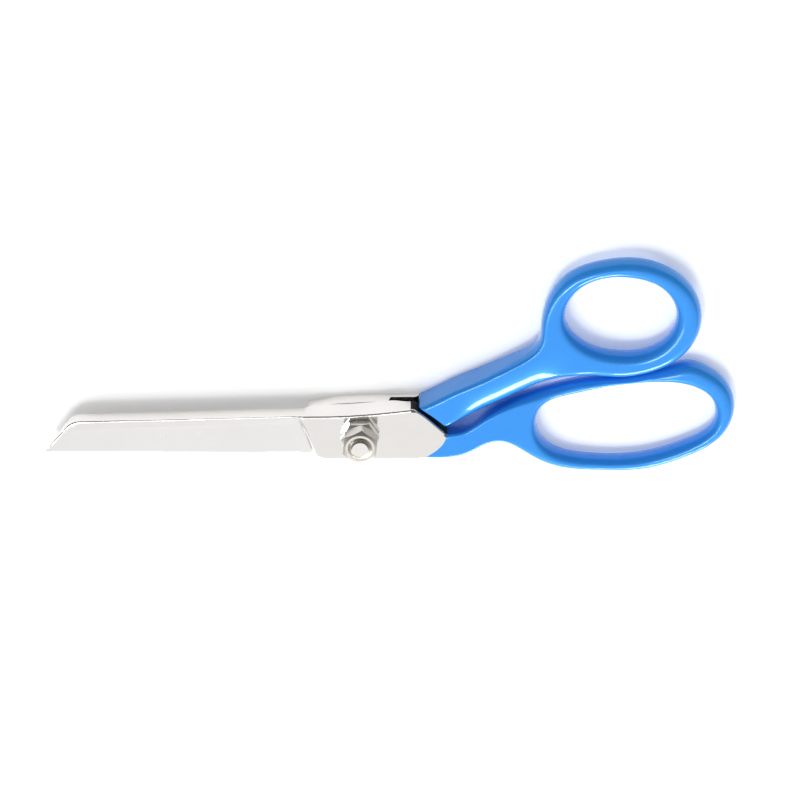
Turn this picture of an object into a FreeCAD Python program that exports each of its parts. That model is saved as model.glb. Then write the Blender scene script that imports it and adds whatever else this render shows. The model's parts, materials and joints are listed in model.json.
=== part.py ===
import FreeCAD, Part
import math
import os

from FreeCAD import Vector

# Bent-handle pinking shears, lying on the back of the rear half with the blades closed.
# Millimetres. Everything is drawn about the pivot axis: tips towards -X, handles towards +X, the
# thumb bow on the +Y side, and Z up from the face that the shears rest on. The whole set is moved
# at the end, so that the origin is under the middle of the bounding box.

# Heights above the rest face
MATE = 6.0              # plane where the two halves meet
RUN = 0.05              # each half stands this far back from the mating plane
FRONT_TOP = 12.2        # outer face of the front ricasso
ARM_RELIEF = 1.45       # the arms are relieved this far back from the mating plane
FRONT_PANEL = 11.0      # ground outer face of the front arm
FRONT_RIB_TOP = 11.9    # polished rib along the front spine
REAR_PANEL = 1.0        # outer face of the rear arm
REAR_NECK_TOP = 2.9     # thin neck of the rear half, behind the front ricasso's corner

# Pinking teeth: a zigzag in radius about the pivot, so that the ridges are arcs that slide in mesh
TOOTH_PITCH = 5.0
TOOTH_DEPTH = 2.4
TOOTH_GAP = 0.36        # axial gap between meshed ridges
FIRST_TOOTH_R = 17.5
TEETH_START_R = FIRST_TOOTH_R - TOOTH_PITCH / 4
HEEL_R = 19.5           # the ricassos' heels lie inside this radius
TOOTH_COUNT = 18
PLATE_BACK = 2.6        # a toothed plate is let this far into its arm, past the mating plane
SECTOR_START = 135.0    # degrees round from +X where the toothed sector starts
SECTOR_SWEEP = 90.0

# Pivot hardware, on a 1/4 in thread
THREAD_R = 3.175
TAPPED_R = 3.2
SHOULDER_R = 4.0
BUSHING_BORE_R = 4.05
BUSHING_R = 5.2
HEAD_R = 6.0
HEAD_POCKET_R = 6.2
HEAD_BOTTOM = 0.3
HEAD_THICKNESS = 1.5
WASHER_R = 6.8
WASHER_THICKNESS = 0.7
NUT_ACROSS_FLATS = 11.11
JAM_NUT_HEIGHT = 3.9
LOCK_NUT_HEIGHT = 5.6
JAM_NUT_TURN = -27.0
LOCK_NUT_TURN = -5.0
NUT_FACE_R = 4.9
NUT_CHAMFER = 35.0
SINK_R = 4.1
BOLT_PROUD = 0.9
BOLT_RIM_CHAMFER = 0.5
SLOT_WIDTH = 1.5
SLOT_DEPTH = 0.9

# Handles
SHANK_TOP = 12.2
FINGER_BOW_TOP = 8.6
THUMB_BOW_TOP = 10.3
THUMB_BOW_BOTTOM = 1.7
TANG_WIDTH = 4.6
TANG_THICKNESS = 3.0
TANG_SLIP = 0.03
PIN_R = 1.2
FINGER_PIN_HEIGHTS = (1.0, 11.0)
THUMB_PIN_HEIGHTS = (0.5, 9.5)
ABOVE_ALL = 20.0        # cutting tools run up to here, clear of every piece they cut


def spline(points, closed=False):
    """An edge through points given as (x, y)."""
    curve = Part.BSplineCurve()
    curve.interpolate([Vector(x, y, 0) for x, y in points], PeriodicFlag=closed)
    return curve.toShape()


def prism(runs, low, high):
    """A solid between two heights. Each run is a list of points, and a run of two is straight."""
    edges = []
    for run in runs:
        if len(run) == 2:
            (x0, y0), (x1, y1) = run
            edges.append(Part.makeLine(Vector(x0, y0, 0), Vector(x1, y1, 0)))
        else:
            edges.append(spline(run))
    face = Part.Face(Part.Wire(edges))
    face.translate(Vector(0, 0, low))
    return face.extrude(Vector(0, 0, high - low))


def polygon(points, low, high):
    """A solid between two heights, with straight sides."""
    ring = points + points[:1]
    return prism([ring[i:i + 2] for i in range(len(points))], low, high)


def disc(radius, low, high, x=0.0, y=0.0):
    """A round post on a vertical axis."""
    return Part.makeCylinder(radius, high - low, Vector(x, y, low))


def along(start, end, width, low, high):
    """A straight bar of a given width between two points in plan."""
    (x0, y0), (x1, y1) = start, end
    length = math.hypot(x1 - x0, y1 - y0)
    nx = -(y1 - y0) / length * width / 2
    ny = (x1 - x0) / length * width / 2
    corners = [(x0 + nx, y0 + ny), (x0 - nx, y0 - ny), (x1 - nx, y1 - ny), (x1 + nx, y1 + ny)]
    return polygon(corners, low, high)


def ridged_side(shift, beyond, inner=2.0):
    """The space on one side of the toothed surface, within the sector that the blades sweep."""
    zigzag = [(inner, MATE + shift), (TEETH_START_R, MATE + shift)]
    for i in range(2 * TOOTH_COUNT):
        height = TOOTH_DEPTH / 2 if i % 2 else -TOOTH_DEPTH / 2
        zigzag.append((FIRST_TOOTH_R + i * TOOTH_PITCH / 2, MATE + shift + height))
    last_r = zigzag[-1][0]
    corners = [Vector(r, 0, z) for r, z in zigzag + [(last_r, beyond), (inner, beyond)]]
    face = Part.Face(Part.makePolygon(corners + corners[:1]))
    face.rotate(Vector(0, 0, 0), Vector(0, 0, 1), SECTOR_START)
    return face.revolve(Vector(0, 0, 0), Vector(0, 0, 1), SECTOR_SWEEP)


def heel_clearance(shift, beyond):
    """What the other half's first tooth sweeps beside a ricasso's heel."""
    return ridged_side(shift, beyond, TEETH_START_R - 0.1).common(disc(HEEL_R, 0, ABOVE_ALL))


# ---- front half: upper blade, adjusting side of the pivot, finger handle -------------------------

FRONT_ARM = [(-12.0, 6.4), (-19.6, 6.8), (-55.0, 5.6), (-92.0, 4.4), (-97.5, 2.4),
             (-104.7, -8.4), (-12.0, -8.4)]
FRONT_RIB = [(-12.0, 6.4), (-19.6, 6.8), (-55.0, 5.6), (-92.0, 4.4), (-92.0, 2.8), (-55.0, 4.0),
             (-12.0, 4.6)]
FRONT_PLATE = [(-16.4, 0.1), (-110.0, 0.1), (-110.0, -10.0), (-14.2, -10.0)]
FRONT_SHOULDER = [(-14.2, -8.4), (-19.6, 6.8)]
FRONT_TOP_LINE = [(-19.6, 6.8), (-6.7, 7.0), (5.3, 7.9), (17.8, 9.4)]
FRONT_CORNER = [(17.8, 9.4), (20.2, 7.9), (23.4, 5.1), (26.7, 1.9), (29.0, -0.4)]
FRONT_COLOUR_LINE = [(29.0, -0.4), (28.0, -3.2), (25.4, -6.3), (21.2, -9.3)]
FRONT_HEEL = [(21.2, -9.3), (-11.7, -9.4)]
FINGER_TANG = [(22.0, -5.2), (42.0, 0.4)]
FINGER_PINS = [(32.5, -2.3), (38.5, -0.6)]
FRONT_TANG_LOW = 7.6


def front_toothed_space():
    """The toothed plate of the front blade, before the arm is cut back for it."""
    low, high = MATE - TOOTH_DEPTH, MATE + PLATE_BACK
    return polygon(FRONT_ARM, low, high).common(polygon(FRONT_PLATE, low, high))


def front_blade():
    return front_toothed_space().common(ridged_side(TOOTH_GAP / 2, MATE + 10))


def front_frame():
    ricasso = prism([FRONT_TOP_LINE, FRONT_CORNER, FRONT_COLOUR_LINE, FRONT_HEEL,
                     [(-11.7, -9.4), (-14.2, -8.4)], FRONT_SHOULDER], MATE + RUN, FRONT_TOP)
    arm = polygon(FRONT_ARM, MATE + ARM_RELIEF, FRONT_PANEL)
    rib = polygon(FRONT_RIB, MATE + RUN, FRONT_RIB_TOP)
    tang = along(*FINGER_TANG, TANG_WIDTH, FRONT_TANG_LOW, FRONT_TANG_LOW + TANG_THICKNESS)
    frame = ricasso.fuse([arm, rib, tang])
    frame = frame.cut([front_toothed_space(), heel_clearance(TOOTH_GAP / 2, MATE - 10)])
    holes = [disc(TAPPED_R, 0, ABOVE_ALL), disc(WASHER_R, 0, MATE + WASHER_THICKNESS / 2)]
    holes += [disc(PIN_R, 0, ABOVE_ALL, x, y) for x, y in FINGER_PINS]
    return frame.cut(holes).removeSplitter()


FINGER_OUTLINE = [(21.2, -9.3), (30.0, -9.2), (36.7, -7.4), (43.4, -4.2), (47.4, -4.3),
                  (53.4, -8.0), (60.0, -13.2), (68.4, -16.6), (80.0, -17.6), (93.6, -17.3),
                  (109.0, -12.5), (121.0, -4.4), (125.0, 6.0), (122.5, 15.4), (116.4, 21.0),
                  (110.1, 23.6), (102.0, 22.0), (94.0, 19.7), (86.0, 18.6), (76.0, 17.8),
                  (66.0, 15.6), (56.0, 12.4), (46.7, 8.2), (40.0, 4.0), (34.5, 0.6),
                  (29.0, -0.4)]
FINGER_HOLE = [(58.8, 1.0), (60.8, 7.6), (70.0, 11.6), (83.4, 14.7), (97.0, 16.2), (108.4, 15.5),
               (117.3, 9.7), (117.9, 1.0), (107.6, -7.2), (93.2, -11.8), (76.7, -12.2),
               (63.2, -7.9)]


def side_profile(top, bottom):
    """A slab across the whole handle, seen from the side: top and bottom lines, each a spline."""
    lines = []
    for points in (top, list(reversed(bottom))):
        curve = Part.BSplineCurve()
        curve.interpolate([Vector(x, -40, z) for x, z in points])
        lines.append(curve.toShape())
    right = Part.makeLine(Vector(top[-1][0], -40, top[-1][1]),
                          Vector(bottom[-1][0], -40, bottom[-1][1]))
    left = Part.makeLine(Vector(bottom[0][0], -40, bottom[0][1]),
                         Vector(top[0][0], -40, top[0][1]))
    face = Part.Face(Part.Wire([lines[0], right, lines[1], left]))
    return face.extrude(Vector(0, 120, 0))


def finger_handle():
    outer = prism([FINGER_OUTLINE, FRONT_COLOUR_LINE], 0, 14)
    hole = Part.Face(Part.Wire([spline(FINGER_HOLE, closed=True)])).extrude(Vector(0, 0, 14))
    slab = side_profile([(20, SHANK_TOP), (34, SHANK_TOP - 0.3), (58, FINGER_BOW_TOP + 0.6),
                         (75, FINGER_BOW_TOP), (126, FINGER_BOW_TOP)],
                        [(20, 0), (60, 0), (90, 0), (126, 0)])
    handle = outer.cut(hole).common(slab)
    socket = along(*FINGER_TANG, TANG_WIDTH + 2 * TANG_SLIP, FRONT_TANG_LOW - TANG_SLIP,
                   FRONT_TANG_LOW + TANG_THICKNESS + TANG_SLIP)
    pins = [disc(PIN_R, *FINGER_PIN_HEIGHTS, x, y) for x, y in FINGER_PINS]
    return handle.cut([socket] + pins)


# ---- rear half: lower blade, bushed side of the pivot, thumb handle ------------------------------

REAR_ARM = [(-12.0, 4.8), (-98.0, -3.6), (-100.6, -9.0), (-60.0, -9.2), (-12.0, -8.4)]
REAR_PLATE = [(-17.4, 5.0), (-110.0, -3.0), (-110.0, -10.0), (-60.0, -8.4), (-17.4, -4.2)]
REAR_TOP_LINE = [(-17.4, 6.6), (-10.0, 8.0), (0.0, 8.8), (9.3, 9.1)]
REAR_NECK_LINE = [(9.3, 9.1), (18.2, 9.2)]
THUMB_SHOULDER = [(18.2, 9.2), (19.6, 9.6)]
THUMB_COLOUR_LINE = [(19.6, 9.6), (21.0, 8.4), (23.5, 6.5), (26.0, 4.4), (28.4, 2.2)]
THUMB_TANG = [(19.0, 4.0), (41.0, 14.6)]
THUMB_PINS = [(31.5, 10.0), (37.0, 12.7)]
REAR_TANG_LOW = 0.9
REAR_TANG_THICKNESS = 2.0


def rear_toothed_space():
    """The toothed plate of the rear blade, before the arm is cut back for it."""
    low, high = MATE - PLATE_BACK, MATE + TOOTH_DEPTH
    return polygon(REAR_ARM, low, high).common(polygon(REAR_PLATE, low, high))


def rear_blade():
    return rear_toothed_space().common(ridged_side(-TOOTH_GAP / 2, MATE - 10))


def rear_frame():
    ricasso = prism([REAR_TOP_LINE, [(9.3, 9.1), (9.3, -8.8)], [(9.3, -8.8), (-15.0, -8.8)],
                     [(-15.0, -8.8), (-17.4, 0.0)], [(-17.4, 0.0), (-17.4, 6.6)]], 0, MATE - RUN)
    neck = prism([REAR_NECK_LINE, THUMB_SHOULDER, THUMB_COLOUR_LINE,
                  [(28.4, 2.2), (25.0, -2.6), (18.0, -6.6), (9.3, -8.8)],
                  [(9.3, -8.8), (9.3, 9.1)]], 0, REAR_NECK_TOP)
    arm = polygon(REAR_ARM, REAR_PANEL, MATE - ARM_RELIEF)
    tang = along(*THUMB_TANG, TANG_WIDTH, REAR_TANG_LOW, REAR_TANG_LOW + REAR_TANG_THICKNESS)
    frame = ricasso.fuse([neck, arm, tang])
    frame = frame.cut([rear_toothed_space(), heel_clearance(-TOOTH_GAP / 2, MATE + 10)])
    pocket_top = HEAD_BOTTOM + HEAD_THICKNESS + RUN
    holes = [disc(BUSHING_R, 0, ABOVE_ALL),
             disc(HEAD_POCKET_R, -1, pocket_top),
             disc(WASHER_R, MATE - WASHER_THICKNESS / 2, ABOVE_ALL)]
    holes += [disc(PIN_R, THUMB_PIN_HEIGHTS[0], ABOVE_ALL, x, y) for x, y in THUMB_PINS]
    return frame.cut(holes).removeSplitter()


THUMB_OUTLINE = [(28.4, 2.2), (34.0, 4.6), (40.0, 6.5), (46.7, 9.6), (53.4, 12.9), (60.0, 16.0),
                 (67.0, 18.7), (76.0, 20.0), (86.0, 19.4), (96.0, 21.0), (105.5, 25.8),
                 (111.4, 33.0), (113.5, 42.0), (110.5, 52.3), (103.0, 59.6), (92.6, 63.3),
                 (80.3, 62.6), (69.0, 58.0), (62.2, 48.8), (60.0, 38.6), (59.3, 33.4),
                 (56.6, 29.8), (50.0, 25.5), (40.0, 20.0), (30.0, 15.2), (24.0, 11.8),
                 (19.6, 9.6)]
THUMB_HOLE = [(68.3, 41.6), (71.8, 51.6), (80.2, 56.6), (89.9, 57.0), (99.5, 53.4),
              (104.9, 44.3), (102.4, 34.8), (95.0, 29.3), (86.0, 28.3), (75.6, 31.4)]


def thumb_handle():
    outer = prism([THUMB_OUTLINE, THUMB_COLOUR_LINE], 0, 14)
    hole = Part.Face(Part.Wire([spline(THUMB_HOLE, closed=True)])).extrude(Vector(0, 0, 14))
    slab = side_profile([(20, SHANK_TOP), (34, SHANK_TOP - 0.3), (60, THUMB_BOW_TOP + 0.4),
                         (75, THUMB_BOW_TOP), (116, THUMB_BOW_TOP)],
                        [(20, 0), (34, 0.1), (60, THUMB_BOW_BOTTOM - 0.4),
                         (75, THUMB_BOW_BOTTOM), (116, THUMB_BOW_BOTTOM)])
    handle = outer.cut(hole).common(slab)
    socket = along(*THUMB_TANG, TANG_WIDTH + 2 * TANG_SLIP, REAR_TANG_LOW - TANG_SLIP,
                   REAR_TANG_LOW + REAR_TANG_THICKNESS + TANG_SLIP)
    pins = [disc(PIN_R, *THUMB_PIN_HEIGHTS, x, y) for x, y in THUMB_PINS]
    return handle.cut([socket] + pins)


# ---- pivot ---------------------------------------------------------------------------------------

def pivot_bolt():
    """Slotted flat head at the back, shoulder in the bushing, threaded end through both nuts."""
    head_top = HEAD_BOTTOM + HEAD_THICKNESS
    end = FRONT_TOP + JAM_NUT_HEIGHT + LOCK_NUT_HEIGHT + BOLT_PROUD
    bolt = disc(HEAD_R, HEAD_BOTTOM, head_top)
    bolt = bolt.fuse([disc(SHOULDER_R, head_top, MATE + RUN), disc(THREAD_R, MATE, end)])
    slot = Part.makeBox(3 * HEAD_R, SLOT_WIDTH, SLOT_DEPTH,
                        Vector(-1.5 * HEAD_R, -SLOT_WIDTH / 2, HEAD_BOTTOM))
    bolt = bolt.cut(slot).removeSplitter()
    rim = [edge for edge in bolt.Edges if edge.BoundBox.ZMin > end - 0.01]
    return bolt.makeChamfer(BOLT_RIM_CHAMFER, rim)


def pivot_bushing():
    low = HEAD_BOTTOM + HEAD_THICKNESS + RUN
    high = MATE - WASHER_THICKNESS / 2
    return disc(BUSHING_R, low, high).cut(disc(BUSHING_BORE_R, low, high))


def friction_washer():
    low = MATE - WASHER_THICKNESS / 2 + RUN
    high = MATE + WASHER_THICKNESS / 2
    return disc(WASHER_R - 0.1, low, high).cut(disc(SHOULDER_R + 0.05, low, high))


def nut(low, height, turn):
    """A hexagon nut, chamfered on both faces, with a countersunk bore."""
    corner_r = NUT_ACROSS_FLATS / 2 / math.cos(math.radians(30))
    corners = []
    for i in range(6):
        angle = math.radians(turn + 30 + 60 * i)
        corners.append((corner_r * math.cos(angle), corner_r * math.sin(angle)))
    cone_r = NUT_FACE_R + height / math.tan(math.radians(NUT_CHAMFER))
    chamfer_above = Part.makeCone(cone_r, NUT_FACE_R, height, Vector(0, 0, low))
    chamfer_below = Part.makeCone(NUT_FACE_R, cone_r, height, Vector(0, 0, low))
    depth = SINK_R - TAPPED_R
    sink = Part.makeCone(TAPPED_R, SINK_R, depth, Vector(0, 0, low + height - depth))
    body = polygon(corners, low, low + height).common(chamfer_above).common(chamfer_below)
    return body.cut([disc(TAPPED_R, low, low + height), sink])


def adjusting_nut():
    return nut(FRONT_TOP, JAM_NUT_HEIGHT, JAM_NUT_TURN)


def lock_nut():
    return nut(FRONT_TOP + JAM_NUT_HEIGHT, LOCK_NUT_HEIGHT, LOCK_NUT_TURN)


def pins(places, low, high):
    return Part.makeCompound([disc(PIN_R, low, high, x, y) for x, y in places])


parts = {
    "front_frame": front_frame(),
    "front_toothed_blade": front_blade(),
    "finger_handle": finger_handle(),
    "finger_tang_pins": pins(FINGER_PINS, *FINGER_PIN_HEIGHTS),
    "rear_frame": rear_frame(),
    "rear_toothed_blade": rear_blade(),
    "thumb_handle": thumb_handle(),
    "thumb_tang_pins": pins(THUMB_PINS, *THUMB_PIN_HEIGHTS),
    "pivot_bolt": pivot_bolt(),
    "pivot_bushing": pivot_bushing(),
    "friction_washer": friction_washer(),
    "adjusting_nut": adjusting_nut(),
    "lock_nut": lock_nut(),
}

whole = Part.makeCompound(list(parts.values())).optimalBoundingBox()
shift = Vector(-(whole.XMin + whole.XMax) / 2, -(whole.YMin + whole.YMax) / 2, -whole.ZMin)
print("pivot axis at", round(shift.x, 3), round(shift.y, 3))
print("size", round(whole.XLength, 2), round(whole.YLength, 2), round(whole.ZLength, 2))

os.makedirs("parts", exist_ok=True)
for name, shape in parts.items():
    shape.translate(shift)
    print(name, len(shape.Solids), "solids", round(shape.Volume, 1), shape.isValid())
    shape.exportStep("parts/" + name + ".step")
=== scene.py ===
import json
import math

import bmesh
import bpy
import numpy as np
from mathutils import Matrix, Vector
from mathutils.geometry import delaunay_2d_cdt


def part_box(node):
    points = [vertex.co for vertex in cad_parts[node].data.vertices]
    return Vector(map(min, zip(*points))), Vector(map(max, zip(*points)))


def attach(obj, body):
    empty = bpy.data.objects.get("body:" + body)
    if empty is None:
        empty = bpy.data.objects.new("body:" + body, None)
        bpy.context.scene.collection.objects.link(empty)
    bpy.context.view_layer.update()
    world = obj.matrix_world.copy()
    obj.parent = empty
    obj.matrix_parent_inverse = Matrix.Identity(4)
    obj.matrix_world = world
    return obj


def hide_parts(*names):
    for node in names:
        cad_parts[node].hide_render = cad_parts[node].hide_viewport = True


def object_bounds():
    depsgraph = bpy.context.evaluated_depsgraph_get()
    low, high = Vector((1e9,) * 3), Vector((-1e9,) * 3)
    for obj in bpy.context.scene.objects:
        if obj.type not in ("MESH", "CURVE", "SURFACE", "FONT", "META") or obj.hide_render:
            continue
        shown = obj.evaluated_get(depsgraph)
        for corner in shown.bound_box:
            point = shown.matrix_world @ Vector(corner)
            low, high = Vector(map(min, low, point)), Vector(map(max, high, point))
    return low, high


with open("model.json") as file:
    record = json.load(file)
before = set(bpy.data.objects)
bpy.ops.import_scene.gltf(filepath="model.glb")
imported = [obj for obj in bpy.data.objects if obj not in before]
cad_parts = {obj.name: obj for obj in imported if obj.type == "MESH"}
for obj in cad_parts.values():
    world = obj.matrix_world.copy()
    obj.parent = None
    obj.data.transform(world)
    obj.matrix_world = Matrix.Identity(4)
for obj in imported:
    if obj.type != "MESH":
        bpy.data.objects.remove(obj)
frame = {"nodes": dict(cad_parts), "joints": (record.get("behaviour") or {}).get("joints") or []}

cad_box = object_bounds()

# Shapes are drawn in millimetres about the pivot axis, with z above the face that the shears rest
# on, as in the CAD. placed() turns them into metres in the row frame.
MM = 0.001
PIVOT_X, PIVOT_Y, PIVOT_Z = frame["joints"][0]["pos_m"]
MATE = PIVOT_Z / MM     # plane where the two halves meet
REST = cad_box[0].z / MM
FRONT_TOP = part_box("front_frame")[1].z / MM
RUN = 0.05              # each half stands this far back from the mating plane
ARM_RELIEF = 1.4        # the arms are cut back this much more than the ricassos
PLATE_RELIEF = 1.15     # and this much more again over the toothed plates
SHARP_STEP = 0.2        # width in plan of a step in a surface


def placed(points):
    """Millimetres about the pivot to metres in the row frame."""
    return np.asarray(points, float) * MM + np.array([PIVOT_X, PIVOT_Y, 0.0])


def ramp(value, low, high):
    """Smooth step from 0 at low to 1 at high, either way round."""
    t = np.clip((value - low) / (high - low), 0.0, 1.0)
    return t * t * (3.0 - 2.0 * t)


# ---- outlines ------------------------------------------------------------------------------------

BATCH = 4000                # points measured at a time, to save memory
LIMB_BLEND = (0.9, 2.2)     # from the exact distance to the soft one, going in from an edge


def smooth_line(points, step, closed=False):
    """A cubic spline through points, sampled evenly, without its last point."""
    p = np.array(points, float)
    if closed:
        p = np.vstack([p, p[:1]])
    h = np.hypot(*np.diff(p, axis=0).T)
    t = np.concatenate([[0.0], np.cumsum(h)])
    n = len(t)
    a = np.zeros((n, n))
    b = np.zeros((n, 2))
    for i in range(1, n - 1):
        a[i, i - 1:i + 2] = h[i - 1], 2 * (h[i - 1] + h[i]), h[i]
        b[i] = 6 * ((p[i + 1] - p[i]) / h[i] - (p[i] - p[i - 1]) / h[i - 1])
    a[0, 0] = a[-1, -1] = 1.0
    if closed:
        a[0, 0] = 2 * (h[-1] + h[0])
        a[0, 1] = h[0]
        a[0, n - 2] = h[-1]
        b[0] = 6 * ((p[1] - p[0]) / h[0] - (p[-1] - p[-2]) / h[-1])
        a[-1, 0] = -1.0
    m = np.linalg.solve(a, b)
    count = max(2, int(round(t[-1] / step)))
    s = np.linspace(0.0, t[-1], count, endpoint=False)
    k = np.clip(np.searchsorted(t, s, side="right") - 1, 0, n - 2)
    u = (s - t[k])[:, None]
    hk = h[k][:, None]
    v = hk - u
    return (m[k] * v ** 3 + m[k + 1] * u ** 3) / (6 * hk) + (
        p[k] / hk - m[k] * hk / 6) * v + (p[k + 1] / hk - m[k + 1] * hk / 6) * u


def straight_line(start, end, step):
    """Points along a straight run, without its last point."""
    start, end = np.array(start, float), np.array(end, float)
    count = max(1, int(round(np.hypot(*(end - start)) / step)))
    return start + (end - start) * (np.arange(count) / count)[:, None]


def outline(runs, step, joined=()):
    """A closed loop from runs, and which of its edges are free. joined runs meet another piece."""
    loop, free = [], []
    for i, run in enumerate(runs):
        points = straight_line(*run, step) if len(run) == 2 else smooth_line(run, step)
        loop.append(points)
        free += [i not in joined] * len(points)
    return np.vstack(loop), np.array(free)


def hole(points, step):
    """A closed smooth loop, all of it free."""
    loop = smooth_line(points, step, closed=True)
    return loop, np.ones(len(loop), bool)


def turned(loop, free, anticlockwise):
    """The same loop in the asked direction, so that its inside is on the left."""
    x, y = loop.T
    area = np.sum(x * np.roll(y, -1) - np.roll(x, -1) * y)
    if (area > 0) == anticlockwise:
        return loop, free
    return loop[::-1].copy(), np.roll(free[::-1], -1).copy()


def inside(points, loops):
    """Even-odd test against all loops together."""
    hit = np.zeros(len(points), bool)
    px, py = points[:, :1], points[:, 1:]
    for loop in loops:
        x0, y0 = loop.T
        x1, y1 = np.roll(loop, -1, axis=0).T
        spans = (y0 > py) != (y1 > py)
        with np.errstate(divide="ignore", invalid="ignore"):
            crossing = x0 + (py - y0) * (x1 - x0) / (y1 - y0)
        hit ^= (np.sum(spans & (px < crossing), axis=1) % 2).astype(bool)
    return hit


def distance(points, starts, ends):
    """Shortest distance from each point to a set of edges."""
    best = np.full(len(points), np.inf)
    for low in range(0, len(points), BATCH):
        p = points[low:low + BATCH, None, :]
        along = ends - starts
        t = np.clip(np.sum((p - starts) * along, axis=2) / np.sum(along * along, axis=1), 0, 1)
        gap = p - (starts + along * t[:, :, None])
        best[low:low + BATCH] = np.sqrt(np.min(np.sum(gap * gap, axis=2), axis=1))
    return best


def soft_distance(points, starts, ends):
    """Like distance, but with no crease along the middle of a limb."""
    exact = distance(points, starts, ends)
    weight = np.hypot(*(ends - starts).T)
    middles = (starts + ends) / 2
    total = np.empty(len(points))
    for low in range(0, len(points), BATCH):
        gap = points[low:low + BATCH, None, :] - middles
        square = np.maximum(np.sum(gap * gap, axis=2), 0.04)
        total[low:low + BATCH] = np.sum(weight / square ** 3, axis=1)
    blended = (3 * math.pi / 8 / total) ** 0.2
    share = ramp(exact, *LIMB_BLEND)
    return exact * (1 - share) + blended * share


# ---- a plate or casting in relief ----------------------------------------------------------------

# Least distances between the points of a mesh: from a followed line to the rim, from a ring to the
# rim, and from a ring to a followed line
LINE_TO_RIM = 0.12
RING_TO_RIM = 0.02
RING_TO_LINE = 0.08
ROW_SPACING = math.sqrt(3) / 2      # rows of a triangular grid, in steps
WELD = 2e-6                         # metres


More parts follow.
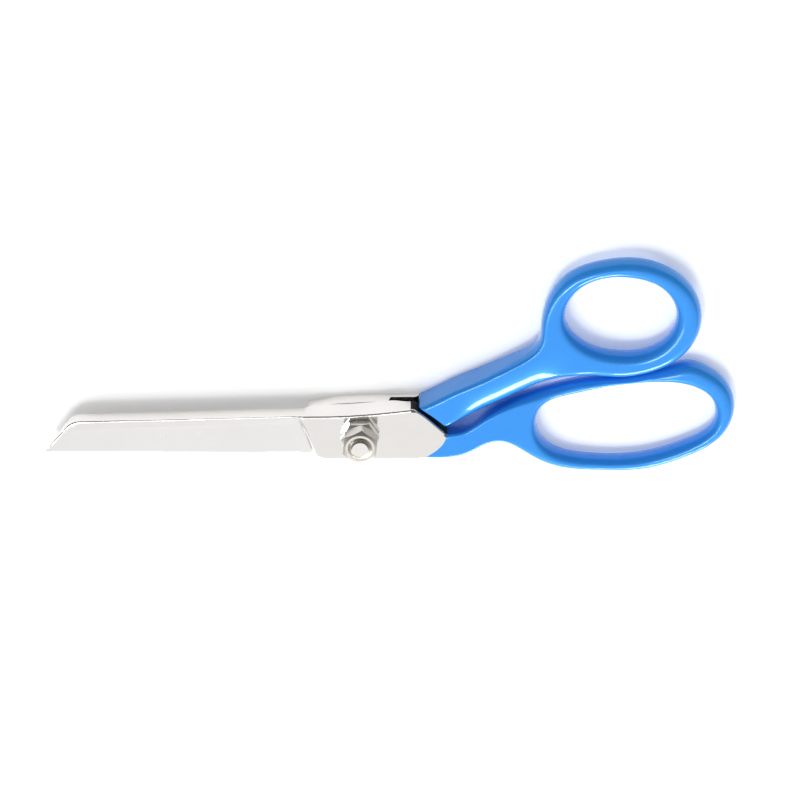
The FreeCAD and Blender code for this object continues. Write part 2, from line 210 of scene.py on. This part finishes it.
def relief(name, loops, top, bottom, radius, step, lines=(), low_radius=None, roundness=None,
           flare=None, rings=6, crease=22.0):
    """A solid over a region of the plane, between two height functions, with rounded free edges.

    loops is the outer loop, then any holes, each with its free edges marked. radius gives how far
    in the rounding of the upper edges reaches, and low_radius of the lower ones. roundness is 0
    where the edges are quarter circles, and 1 where the rounding goes down to mid thickness. flare
    moves the lower face outwards in y. lines are polylines that the mesh has to follow.
    """
    loops = [turned(loop, free, i == 0) for i, (loop, free) in enumerate(loops)]
    starts, ends = [], []
    rim_points, ring_points, edges = [], [], []
    base = 0
    for loop, free in loops:
        following = np.roll(loop, -1, axis=0)
        starts.append(loop[free])
        ends.append(following[free])
        n = len(loop)
        edges += [(base + i, base + (i + 1) % n) for i in range(n)]
        base += n
        rim_points.append(loop)
        tangent = following - np.roll(loop, 1, axis=0)
        tangent /= np.hypot(*tangent.T)[:, None]
        inward = np.column_stack([-tangent[:, 1], tangent[:, 0]])
        for k in range(1, rings + 1):
            reach = radius(loop)[:, None] * (1 - math.cos(math.pi / 2 * k / rings))
            ring_points.append(np.column_stack([loop + inward * reach, reach])[free])
    starts, ends = np.vstack(starts), np.vstack(ends)
    plain_loops = [loop for loop, _ in loops]
    rim = np.vstack(rim_points)
    all_starts = rim
    all_ends = np.vstack([np.roll(loop, -1, axis=0) for loop in plain_loops])

    def wanted(points, least):
        return inside(points, plain_loops) & (distance(points, all_starts, all_ends) > least)

    followed = [line[wanted(line, LINE_TO_RIM)] for line in lines]
    line_edges = []
    for line in followed:
        line_edges += [(base + i, base + i + 1) for i in range(len(line) - 1)]
        base += len(line)
    rings_kept = np.vstack(ring_points)
    near = distance(rings_kept[:, :2], starts, ends)
    keep = (near > 0.96 * rings_kept[:, 2]) & wanted(rings_kept[:, :2], RING_TO_RIM)
    rings_kept = rings_kept[keep, :2]
    low, high = rim.min(0), rim.max(0)
    columns = np.arange(low[0], high[0], step)
    rows = np.arange(low[1], high[1], step * ROW_SPACING)
    gx, gy = np.meshgrid(columns, rows)
    gx[1::2] += step / 2
    grid = np.column_stack([gx.ravel(), gy.ravel()])
    grid = grid[wanted(grid, step * 0.5)]
    grid = grid[distance(grid, starts, ends) > radius(grid) + step * 0.3]
    if followed:
        line_starts = np.vstack([line[:-1] for line in followed])
        line_ends = np.vstack([line[1:] for line in followed])
        grid = grid[distance(grid, line_starts, line_ends) > step * 0.4]
        clear = distance(rings_kept, line_starts, line_ends) > RING_TO_LINE
        rings_kept = rings_kept[clear]
    flat = np.vstack([rim] + followed + [rings_kept, grid])
    found = delaunay_2d_cdt([Vector(p) for p in flat], edges + line_edges, [], 0, 1e-4)
    plan = np.array([tuple(v) for v in found[0]])
    faces = np.array([tuple(f) for f in found[2]])
    faces = faces[inside(plan[faces].mean(axis=1), plain_loops)]
    across = plan[faces]
    first, second = across[:, 1] - across[:, 0], across[:, 2] - across[:, 0]
    backward = first[:, 0] * second[:, 1] - first[:, 1] * second[:, 0] < 0
    faces[backward] = faces[backward][:, ::-1]
    measure = soft_distance if roundness else distance
    into = measure(plan, starts, ends)
    over, under = top(plan), bottom(plan)
    half = (over - under) / 2

    def edge_drop(reach):
        """How much the surface gives way towards a free edge."""
        part = np.minimum(into / reach, 1.0)
        fall = np.minimum(reach, half)
        if roundness:
            fall += (half - fall) * roundness(plan)
        return fall * (1 - np.sqrt(np.maximum(1 - (1 - part) ** 2, 0.0)))

    over = over - edge_drop(radius(plan))
    under = under + edge_drop((low_radius or radius)(plan))
    count = len(plan)
    used_edges = {}
    for f in faces:
        for i in range(3):
            used_edges[(f[i], f[(i + 1) % 3])] = True
    walls = [(b, a, a + count, b + count) for a, b in used_edges if (b, a) not in used_edges]
    foot = plan.copy()
    if flare:
        foot[:, 1] += flare(plan)
    points = np.vstack([np.column_stack([plan, over]), np.column_stack([foot, under])])
    mesh = bpy.data.meshes.new(name)
    all_faces = [tuple(int(i) for i in f) for f in faces]
    all_faces += [tuple(int(i) + count for i in f[::-1]) for f in faces]
    all_faces += [tuple(int(i) for i in w) for w in walls]
    mesh.from_pydata([tuple(p) for p in placed(points)], [], all_faces)
    tidy = bmesh.new()
    tidy.from_mesh(mesh)
    bmesh.ops.remove_doubles(tidy, verts=tidy.verts, dist=WELD)
    bmesh.ops.dissolve_degenerate(tidy, edges=tidy.edges, dist=1e-7)
    tidy.to_mesh(mesh)
    tidy.free()
    mesh.shade_smooth()
    mesh.set_sharp_from_angle(angle=math.radians(crease))
    piece = bpy.data.objects.new(name, mesh)
    bpy.context.scene.collection.objects.link(piece)
    return piece


# ---- materials -----------------------------------------------------------------------------------

def new_material(name):
    material = bpy.data.materials.new(name)
    material.use_nodes = True
    nodes = material.node_tree.nodes
    return material, nodes, material.node_tree.links, nodes["Principled BSDF"]


def noise(nodes, links, scale, stretch=(1, 1, 1), detail=4.0):
    """Noise in object space. stretch draws it out along an axis."""
    place = nodes.new("ShaderNodeTexCoord")
    mapping = nodes.new("ShaderNodeMapping")
    mapping.inputs["Scale"].default_value = stretch
    texture = nodes.new("ShaderNodeTexNoise")
    texture.inputs["Scale"].default_value = scale
    texture.inputs["Detail"].default_value = detail
    links.new(place.outputs["Object"], mapping.inputs["Vector"])
    links.new(mapping.outputs["Vector"], texture.inputs["Vector"])
    return texture.outputs["Fac"]


def spread(nodes, links, value, low, high, start=0.3, end=0.7):
    """A value between low and high from a factor."""
    node = nodes.new("ShaderNodeMapRange")
    node.inputs["From Min"].default_value = start
    node.inputs["From Max"].default_value = end
    node.inputs["To Min"].default_value = low
    node.inputs["To Max"].default_value = high
    links.new(value, node.inputs["Value"])
    return node.outputs["Result"]


def tint(nodes, links, value, first, second):
    """A colour between two colours from a factor."""
    node = nodes.new("ShaderNodeMix")
    node.data_type = "RGBA"
    node.inputs["A"].default_value = (*first, 1)
    node.inputs["B"].default_value = (*second, 1)
    links.new(value, node.inputs["Factor"])
    return node.outputs["Result"]


def bump(nodes, links, shader, value, strength, depth):
    node = nodes.new("ShaderNodeBump")
    node.inputs["Strength"].default_value = strength
    node.inputs["Distance"].default_value = depth
    links.new(value, node.inputs["Height"])
    links.new(node.outputs["Normal"], shader.inputs["Normal"])


def metal(name, light, dark, rough, grain=(1, 1, 1), grain_scale=300.0, strength=0.06):
    """A metal with a directional polish, cloudy roughness and slight colour change."""
    material, nodes, links, shader = new_material(name)
    shader.inputs["Metallic"].default_value = 1.0
    cloud = noise(nodes, links, 60.0, detail=3.0)
    lines = noise(nodes, links, grain_scale, stretch=grain, detail=6.0)
    links.new(tint(nodes, links, spread(nodes, links, cloud, 0.0, 1.0), light, dark),
              shader.inputs["Base Color"])
    mixed = nodes.new("ShaderNodeMath")
    mixed.operation = "MULTIPLY_ADD"
    mixed.inputs[1].default_value = 0.6
    links.new(lines, mixed.inputs[0])
    links.new(spread(nodes, links, cloud, 0.0, 0.4), mixed.inputs[2])
    links.new(spread(nodes, links, mixed.outputs[0], rough[0], rough[1], 0.2, 0.8),
              shader.inputs["Roughness"])
    bump(nodes, links, shader, lines, strength, 0.00004)
    return material


def enamel(name):
    """Glossy blue stove enamel, clear-coated, with a faint pearl and a slightly uneven flow."""
    material, nodes, links, shader = new_material(name)
    cloud = noise(nodes, links, 90.0, detail=2.0)
    flake = noise(nodes, links, 4000.0, detail=1.0)
    links.new(tint(nodes, links, spread(nodes, links, flake, 0.0, 1.0),
                   (0.024, 0.256, 0.77), (0.034, 0.298, 0.85)), shader.inputs["Base Color"])
    shader.inputs["Metallic"].default_value = 0.15
    shader.inputs["Specular IOR Level"].default_value = 0.08
    links.new(spread(nodes, links, cloud, 0.28, 0.36), shader.inputs["Roughness"])
    shader.inputs["Coat Weight"].default_value = 1.0
    shader.inputs["Coat Roughness"].default_value = 0.07
    shader.inputs["Coat IOR"].default_value = 1.38
    bump(nodes, links, shader, cloud, 0.08, 0.0002)
    return material


NICKEL = metal("nickel_polished", (0.84, 0.82, 0.80), (0.79, 0.77, 0.75), (0.09, 0.18),
               grain=(0.12, 1, 1), grain_scale=900.0, strength=0.05)
GROUND = metal("steel_ground", (0.78, 0.77, 0.76), (0.73, 0.72, 0.71), (0.20, 0.28),
               grain=(1, 0.06, 1), grain_scale=2600.0, strength=0.12)
NUT_METAL = metal("nut_nickel", (0.74, 0.715, 0.67), (0.60, 0.575, 0.53), (0.17, 0.32),
                  grain=(1, 1, 0.3), grain_scale=1500.0, strength=0.15)
BOLT_METAL = metal("bolt_nickel", (0.78, 0.76, 0.73), (0.66, 0.64, 0.61), (0.18, 0.32),
                   grain=(1, 1, 1), grain_scale=1800.0, strength=0.12)
# Near-black steel, painted shade for the deep gap between the front forging's corner and the thumb
# shank
GAP_SHADE_STEEL = metal("steel_gap_shade", (0.045, 0.045, 0.05), (0.02, 0.02, 0.024), (0.5, 0.7),
                   grain=(1, 1, 1), grain_scale=1200.0, strength=0.3)
BRONZE = metal("bronze_turned", (0.62, 0.43, 0.22), (0.50, 0.34, 0.17), (0.25, 0.4),
               grain=(1, 1, 0.2), grain_scale=1500.0, strength=0.15)
BLUE = enamel("blue_enamel")


def cover(piece, body, nodes, slot, *materials):
    """Put materials on a piece, and hang it on its body in place of CAD nodes."""
    for material in materials:
        piece.data.materials.append(material)
    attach(piece, body)
    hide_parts(*nodes)
    return piece


# ---- front forging -------------------------------------------------------------------------------

PLATE_STEP = 1.0
EDGE_Y = -8.4
POINT_X = -105.6
SPINE = [(-19.6, 6.8), (-55.0, 5.6), (-92.0, 4.4)]
TIP = [(-92.0, 4.4), (-95.6, 3.7), (-98.4, 1.6), (-100.2, -1.0)]
POINT = [(-100.2, -1.0), (POINT_X, EDGE_Y)]
EDGE = [(POINT_X, EDGE_Y), (-14.2, EDGE_Y)]
HEEL_STEP = [(-14.2, EDGE_Y), (-11.7, -9.4)]
HEEL = [(-11.7, -9.4), (21.2, -9.3)]
TOP_LINE = [(17.8, 9.4), (5.3, 7.9), (-6.7, 7.0), (-19.6, 6.8)]
CORNER = [(29.0, -0.4), (26.7, 1.9), (23.4, 5.1), (20.2, 7.9), (17.8, 9.4)]
COLOUR_LINE = [(21.2, -9.3), (25.4, -6.3), (28.0, -3.2), (29.0, -0.4)]
SHOULDER_FOOT = np.array(EDGE[1])
SHOULDER_HEAD = np.array(SPINE[0])
SPINE_FALL = 0.008      # millimetres per millimetre towards the tip
EDGE_TOP = 10.4
EDGE_FALL = 0.011
HOLLOW = 0.4
BEVEL_GROOVE = 0.3      # the panel ends this far below the bevel's foot line
BEVEL_RISE = 0.7
BEVEL_FADES = (-96.5, -91.0)
EDGE_FACET = 0.4
FACET_FALL = 0.12
SHOULDER_WIDTH = 1.6
RIB_WIDTH = 1.5         # full-thickness rib along the spine, on the inner side
PLATE_EDGE_Y = 0.2
EASED = 0.75            # rounding of the polished upper edges
KEEN = 0.2              # rounding along the cutting edge
CRISP = 0.15            # rounding of the edges at the mating plane
LOWER_FLARE = 1.2       # the ricasso's lower face reaches this much further out
GAP_CORNER = (17.0, -0.6)


def spine_y(x):
    return np.interp(x, *np.array(SPINE[::-1]).T)


def bevel_foot(x):
    """The line where the bevel starts, which is further from the spine towards the tip."""
    return spine_y(x) - np.interp(x, [-92.0, -19.6], [3.5, 2.5])


def past_shoulder(p):
    """How far a point is on the blade's side of the diagonal shoulder."""
    along = SHOULDER_HEAD - SHOULDER_FOOT
    along = along / np.hypot(*along)
    offset = p - SHOULDER_FOOT
    return along[0] * offset[:, 1] - along[1] * offset[:, 0]


def front_top(p):
    """Ricasso, then a hollow-ground panel with a polished bevel up to the spine."""
    x, y = p.T
    spine_top = FRONT_TOP + (x + 20.0) * SPINE_FALL
    edge_top = EDGE_TOP + (x + 15.0) * EDGE_FALL
    bevel_y = bevel_foot(x)
    up = np.clip((y - EDGE_Y) / (bevel_y - EDGE_Y), 0.0, 1.0)
    panel = edge_top + (spine_top - BEVEL_RISE - BEVEL_GROOVE - edge_top) * up
    panel -= HOLLOW * up * (1 - up)
    panel -= FACET_FALL * np.clip((EDGE_Y + EDGE_FACET - y) / EDGE_FACET, 0.0, 1.0)
    rise = np.clip((y - bevel_y) / (spine_y(x) - bevel_y), 0.0, 1.0)
    blade = panel + BEVEL_RISE * rise * ramp(x, *BEVEL_FADES)
    return FRONT_TOP + (blade - FRONT_TOP) * ramp(past_shoulder(p), 0.0, SHOULDER_WIDTH)


def front_bottom(p):
    """Flat on the mating plane, and relieved below the rib for the toothed plate."""
    x, y = p.T
    rib_y = spine_y(x) - RIB_WIDTH
    relieved = ramp(past_shoulder(p), 1.0, 1.0 + SHARP_STEP) * ramp(y, rib_y, rib_y - SHARP_STEP)
    over_plate = relieved * ramp(y, PLATE_EDGE_Y, PLATE_EDGE_Y - SHARP_STEP)
    return MATE + RUN + ARM_RELIEF * relieved + PLATE_RELIEF * over_plate


def front_forging():
    """Upper half in metal, with painted shade: its wall at the gap behind the corner is near black.
    """
    runs = [CORNER, TOP_LINE, SPINE, TIP, POINT, EDGE, HEEL_STEP, HEEL, COLOUR_LINE]
    loop = outline(runs, PLATE_STEP, joined=(8,))
    x = np.arange(-103.0, -19.0, PLATE_STEP)
    across = np.linspace(-7.0, 8.0, 18)
    slant = (SHOULDER_HEAD - SHOULDER_FOOT) / (SHOULDER_HEAD - SHOULDER_FOOT)[1]
    shoulder = SHOULDER_FOOT + slant * (across - EDGE_Y)[:, None]
    toward_tip = np.array([-slant[1], slant[0]]) / np.hypot(*slant)
    lines = [np.column_stack([x, bevel_foot(x)]),
             np.column_stack([x, np.full(len(x), EDGE_Y + EDGE_FACET)]),
             np.column_stack([x, spine_y(x) - RIB_WIDTH - SHARP_STEP]),
             np.column_stack([x, spine_y(x) - RIB_WIDTH]),
             np.column_stack([x, np.full(len(x), PLATE_EDGE_Y - SHARP_STEP)]),
             np.column_stack([x, np.full(len(x), PLATE_EDGE_Y)])]
    lines += [shoulder + toward_tip * SHOULDER_WIDTH * share for share in (0.0, 0.33, 0.67, 1.0)]

    def radius(p):
        return EASED + (KEEN - EASED) * ramp(p[:, 1], -4.0, -7.0)

    def low_radius(p):
        return np.full(len(p), CRISP)

    def flare(p):
        x, y = p.T
        return LOWER_FLARE * ramp(y, 4.0, 7.0) * ramp(x, -19.5, -15.0) * ramp(x, 17.0, 10.0)

    piece = relief("front_forging", [loop], front_top, front_bottom, radius, PLATE_STEP, lines,
                   low_radius=low_radius, flare=flare, rings=5)
    cover(piece, "front_half", ["front_frame"], "nickel_plate", NICKEL, GROUND, GAP_SHADE_STEEL)
    for face in piece.data.polygons:
        c = (face.center - Vector((PIVOT_X, PIVOT_Y, 0))) / MM
        spot = np.array([[c.x, c.y]])
        on_panel = past_shoulder(spot)[0] > SHOULDER_WIDTH and c.y < bevel_foot(c.x)
        if on_panel and face.normal.z > 0.8:
            face.material_index = 1
        # Side walls behind the corner get the near-black steel: painted shade in the gap
        if c.x > GAP_CORNER[0] and c.y > GAP_CORNER[1] and abs(face.normal.z) < 0.4:
            face.material_index = 2
    return piece


# ---- rear forging --------------------------------------------------------------------------------

ARM_X = -17.0
NECK_X = 9.3
NECK_FALL = 3.05
REAR_PLATE_Y = -4.2     # lower side of the toothed plate where the arm starts
REAR_PLATE_SLOPE = 0.098
ARM_LIFT = 0.75
HEAD_POCKET_R = 6.2
REAR_ARM_EDGE = [(-17.4, 4.3), (-98.0, -3.6)]
REAR_POINT = [(-98.0, -3.6), (-100.6, -9.0)]
REAR_BACK = [(-100.6, -9.0), (-60.0, -9.2)]
REAR_HEEL = [(-60.0, -9.2), (-15.0, -8.8)]
REAR_TOP_LINE = [(-17.4, 6.6), (-10.0, 8.0), (0.0, 8.8), (9.3, 9.1), (13.0, 9.15), (18.2, 9.2)]
THUMB_COLOUR_LINE = [(19.6, 9.6), (21.0, 8.4), (23.5, 6.5), (26.0, 4.4), (28.4, 2.2)]


def rear_top(p):
    """Flat ricasso on the mating plane, between the relieved arm and the thin neck."""
    x, y = p.T
    plate_y = REAR_PLATE_Y + (x + 17.4) * REAR_PLATE_SLOPE
    on_arm = ramp(x, ARM_X, ARM_X - SHARP_STEP)
    on_plate = on_arm * ramp(y, plate_y, plate_y + SHARP_STEP)
    on_neck = ramp(x, NECK_X, NECK_X + SHARP_STEP)
    return MATE - RUN - ARM_RELIEF * on_arm - PLATE_RELIEF * on_plate - NECK_FALL * on_neck


def rear_bottom(p):
    return REST + ARM_LIFT * ramp(p[:, 0], -16.4, -19.0)


def rear_forging():
    """Lower half in metal, with the pocket for the bolt's head."""
    runs = [REAR_TOP_LINE, [(18.2, 9.2), (19.6, 9.6)], THUMB_COLOUR_LINE,
            [(28.4, 2.2), (25.0, -2.6), (18.0, -6.6), (9.3, -8.8)], [(9.3, -8.8), (-15.0, -8.8)],
            REAR_HEEL[::-1], REAR_BACK[::-1], REAR_POINT[::-1], REAR_ARM_EDGE[::-1],
            [(-17.4, 4.3), (-17.4, 6.6)]]
    loop = outline(runs, PLATE_STEP, joined=(2,))
    around = np.radians(np.arange(0, 360, 8))
    pocket = HEAD_POCKET_R * np.column_stack([np.cos(around), np.sin(around)])
    pocket_hole = pocket[::-1], np.ones(len(pocket), bool)
    y = np.arange(-8.0, 9.0, PLATE_STEP)
    steps = (ARM_X - SHARP_STEP, ARM_X, NECK_X, NECK_X + SHARP_STEP)
    lines = [np.column_stack([np.full(len(y), x), y]) for x in steps]

    def radius(p):
        return np.full(len(p), CRISP)

    def low_radius(p):
        return 0.5 - 0.2 * ramp(p[:, 0], -12.0, -20.0)

    piece = relief("rear_forging", [loop, pocket_hole], rear_top, rear_bottom, radius, PLATE_STEP,
                   lines, low_radius=low_radius, rings=5)
    return cover(piece, "rear_half", ["rear_frame"], "nickel_plate", NICKEL)


# ---- handles -------------------------------------------------------------------------------------

HANDLE_STEP = 0.9
SHANK_TOP = FRONT_TOP
FINGER_BOW_TOP = 8.6
THUMB_BOW_TOP = 10.3
THUMB_BOW_LIFT = 1.7
CROWN_WIDTH = 12.0      # the thumb shank's top rounds off towards its lower side over this width
CROWN_FALL = 5.6
BOW_RADIUS = 3.4
FINGER_SHANK_RADIUS = 1.1
THUMB_SHANK_RADIUS = 1.6
LOWER_SIDE_RADIUS = 0.8     # added along the thumb shank's lower side

FINGER_OUTLINE = [(21.2, -9.3), (30.0, -9.2), (36.7, -7.4), (43.4, -4.2), (47.4, -4.3),
                  (53.4, -8.0), (60.0, -13.2), (68.4, -16.6), (80.0, -17.6), (93.6, -17.3),
                  (109.0, -12.5), (121.0, -4.4), (125.0, 6.0), (122.5, 15.4), (116.4, 21.0),
                  (110.1, 23.6), (102.0, 22.0), (94.0, 19.7), (86.0, 18.6), (76.0, 17.8),
                  (66.0, 15.6), (56.0, 12.4), (46.7, 8.2), (40.0, 4.0), (34.5, 0.6),
                  (29.0, -0.4)]
FINGER_HOLE = [(58.8, 1.0), (60.8, 7.6), (70.0, 11.6), (83.4, 14.7), (97.0, 16.2), (108.4, 15.5),
               (117.3, 9.7), (117.9, 1.0), (107.6, -7.2), (93.2, -11.8), (76.7, -12.2),
               (63.2, -7.9)]
THUMB_OUTLINE = [(28.4, 2.2), (34.0, 4.6), (40.0, 6.5), (46.7, 9.6), (53.4, 12.9), (60.0, 16.0),
                 (67.0, 18.7), (76.0, 20.0), (86.0, 19.4), (96.0, 21.0), (105.5, 25.8),
                 (111.4, 33.0), (113.5, 42.0), (110.5, 52.3), (103.0, 59.6), (92.6, 63.3),
                 (80.3, 62.6), (69.0, 58.0), (62.2, 48.8), (60.0, 38.6), (59.3, 33.4),
                 (56.6, 29.8), (50.0, 25.5), (40.0, 20.0), (30.0, 15.2), (24.0, 11.8),
                 (19.6, 9.6)]
THUMB_HOLE = [(68.3, 41.6), (71.8, 51.6), (80.2, 56.6), (89.9, 57.0), (99.5, 53.4),
              (104.9, 44.3), (102.4, 34.8), (95.0, 29.3), (86.0, 28.3), (75.6, 31.4)]


def roundness(p):
    """The shanks are flat bars with eased edges, and the bows are almost round in section."""
    return ramp(p[:, 0], 38.0, 70.0)


def finger_handle():
    """Long bow for the fingers, hung on the front forging."""
    loops = [outline([FINGER_OUTLINE, COLOUR_LINE[::-1]], HANDLE_STEP, joined=(1,)),
             hole(FINGER_HOLE, HANDLE_STEP)]

    def top(p):
        return SHANK_TOP + (FINGER_BOW_TOP - SHANK_TOP) * ramp(p[:, 0], 30.0, 74.0)

    def bottom(p):
        return np.full(len(p), REST)

    def radius(p):
        growth = BOW_RADIUS - FINGER_SHANK_RADIUS
        return FINGER_SHANK_RADIUS + growth * ramp(p[:, 0], 44.0, 66.0)

    piece = relief("finger_bow_handle", loops, top, bottom, radius, HANDLE_STEP,
                   roundness=roundness, rings=8, crease=60.0)
    return cover(piece, "front_half", ["finger_handle", "finger_tang_pins"], "blue_enamel", BLUE)


def thumb_handle():
    """Round bow for the thumb, hung on the rear forging's neck."""
    loops = [outline([THUMB_OUTLINE, THUMB_COLOUR_LINE], HANDLE_STEP),
             hole(THUMB_HOLE, HANDLE_STEP)]

    def top(p):
        x, y = p.T
        along = SHANK_TOP + (THUMB_BOW_TOP - SHANK_TOP) * ramp(x, 34.0, 74.0)
        from_edge = (y - np.interp(x, *np.array(THUMB_OUTLINE[:7]).T)) * 0.9
        part = np.clip(from_edge / CROWN_WIDTH, 0.0, 1.0)
        crown = CROWN_FALL * (1 - np.sqrt(np.maximum(1 - (1 - part) ** 2, 0.0)))
        return along - crown * ramp(x, 28.0, 42.0) * ramp(x, 74.0, 58.0)

    def bottom(p):
        return REST + THUMB_BOW_LIFT * ramp(p[:, 0], 34.0, 74.0)

    def radius(p):
        x, y = p.T
        lower_side = ramp(y, 15.2 + (x - 40.0) * 0.52, 12.8 + (x - 40.0) * 0.52)
        shank = THUMB_SHANK_RADIUS + LOWER_SIDE_RADIUS * lower_side * ramp(x, 29.0, 42.0)
        return shank + (BOW_RADIUS - shank) * ramp(x, 58.0, 70.0)

    piece = relief("thumb_bow_handle", loops, top, bottom, radius, HANDLE_STEP,
                   roundness=roundness, rings=8, crease=60.0)
    return cover(piece, "rear_half", ["thumb_handle", "thumb_tang_pins"], "blue_enamel", BLUE)


front_forging()
rear_forging()
finger_handle()
thumb_handle()

CAD_LOOKS = {"front_toothed_blade": GROUND, "rear_toothed_blade": GROUND, "pivot_bolt": BOLT_METAL,
             "pivot_bushing": BRONZE, "friction_washer": BRONZE, "adjusting_nut": NUT_METAL,
             "lock_nut": NUT_METAL}
for node, material in CAD_LOOKS.items():
    mesh = frame["nodes"][node].data
    mesh.materials.clear()
    mesh.materials.append(material)


# ---- stage ---------------------------------------------------------------------------------------

FLOOR_GLOW = 0.27
FLOOR_HALF = 3.0        # metres
FLOOR_GAP = 0.0002


def floor():
    """A white light table, which lifts the shadows from below."""
    material, nodes, links, shader = new_material("pale_floor")
    shader.inputs["Base Color"].default_value = (0.93, 0.93, 0.93, 1)
    shader.inputs["Roughness"].default_value = 0.7
    shader.inputs["Specular IOR Level"].default_value = 0.2
    shader.inputs["Emission Color"].default_value = (1, 1, 1, 1)
    shader.inputs["Emission Strength"].default_value = FLOOR_GLOW
    mesh = bpy.data.meshes.new("floor")
    z = REST * MM - FLOOR_GAP
    corners = [(-FLOOR_HALF, -FLOOR_HALF, z), (FLOOR_HALF, -FLOOR_HALF, z),
               (FLOOR_HALF, FLOOR_HALF, z), (-FLOOR_HALF, FLOOR_HALF, z)]
    mesh.from_pydata(corners, [], [(0, 1, 2, 3)])
    mesh.materials.append(material)
    piece = bpy.data.objects.new("floor", mesh)
    bpy.context.scene.collection.objects.link(piece)


# Soft distant lamps: name, degrees round from the blades' edge side to the tip, elevation, W/m2,
# and the angle that each fills.
SUNS = [("key", 55.0, 64.0, 0.75, 22.0), ("overhead", 55.0, 78.0, 0.55, 13.0)]
TENT_BRIGHT = (0.0, -0.64, 0.77)    # towards the brightest part of the tent
TENT_REACH = (0.15, 0.80)           # cosine from that direction where it is dimmest and brightest
TENT_LEVEL = (0.14, 0.98)
CARD_PLACE = (0.27, -1.09, 0.45)
CARD_SIZE = (0.40, 0.30)
CARD_POWER = 7.0


def studio():
    """A white tent, dim on the thumb bow's side, with two soft suns and a card in front."""
    world = bpy.data.worlds.new("studio")
    world.use_nodes = True
    nodes, links = world.node_tree.nodes, world.node_tree.links
    sky = nodes.new("ShaderNodeTexCoord")
    toward = nodes.new("ShaderNodeVectorMath")
    toward.operation = "DOT_PRODUCT"
    toward.inputs[1].default_value = TENT_BRIGHT
    links.new(sky.outputs["Generated"], toward.inputs[0])
    level = nodes.new("ShaderNodeMapRange")
    level.interpolation_type = "SMOOTHSTEP"
    level.inputs["From Min"].default_value = TENT_REACH[0]
    level.inputs["From Max"].default_value = TENT_REACH[1]
    level.inputs["To Min"].default_value = TENT_LEVEL[0]
    level.inputs["To Max"].default_value = TENT_LEVEL[1]
    links.new(toward.outputs["Value"], level.inputs["Value"])
    background = nodes["Background"]
    background.inputs["Color"].default_value = (1, 1, 1, 1)
    links.new(level.outputs["Result"], background.inputs["Strength"])
    bpy.context.scene.world = world
    for name, azimuth, elevation, energy, angle in SUNS:
        data = bpy.data.lights.new(name, "SUN")
        data.energy = energy
        data.angle = math.radians(angle)
        lamp = bpy.data.objects.new(name, data)
        side, height = math.radians(azimuth), math.radians(elevation)
        source = Vector((-math.sin(side) * math.cos(height), -math.cos(side) * math.cos(height),
                         math.sin(height)))
        lamp.rotation_mode = "QUATERNION"
        lamp.rotation_quaternion = (-source).to_track_quat("-Z", "Y")
        bpy.context.scene.collection.objects.link(lamp)
    card = bpy.data.lights.new("front_card", "AREA")
    card.shape = "RECTANGLE"
    card.size, card.size_y = CARD_SIZE
    card.energy = CARD_POWER
    lamp = bpy.data.objects.new("front_card", card)
    lamp.location = CARD_PLACE
    lamp.rotation_mode = "QUATERNION"
    lamp.rotation_quaternion = (-lamp.location).to_track_quat("-Z", "Y")
    bpy.context.scene.collection.objects.link(lamp)


CAMERA_TILT = 30.0      # degrees off vertical
CAMERA_LENS = 400.0
SENSOR_WIDTH = 36.0
FIELD_WIDTH = 266.9     # millimetres across the frame at the target
CAMERA_TARGET = (13.3, 9.7, MATE)


def camera():
    """Looks down on the nut side, from the blades' edge side, with the blades to the left."""
    data = bpy.data.cameras.new("camera")
    data.lens = CAMERA_LENS
    data.sensor_width = SENSOR_WIDTH
    eye = bpy.data.objects.new("camera", data)
    target = Vector(placed(CAMERA_TARGET))
    tilt = math.radians(CAMERA_TILT)
    back = Vector((0.0, math.sin(tilt), math.cos(tilt)))
    reach = FIELD_WIDTH * MM * CAMERA_LENS / SENSOR_WIDTH
    up = Vector((0.0, math.cos(tilt), -math.sin(tilt)))
    right = up.cross(back)
    eye.matrix_world = Matrix((right, up, back)).transposed().to_4x4()
    eye.location = target + back * reach
    bpy.context.scene.collection.objects.link(eye)
    bpy.context.scene.camera = eye


floor()
studio()
camera()
bpy.context.scene.view_settings.view_transform = "Standard"
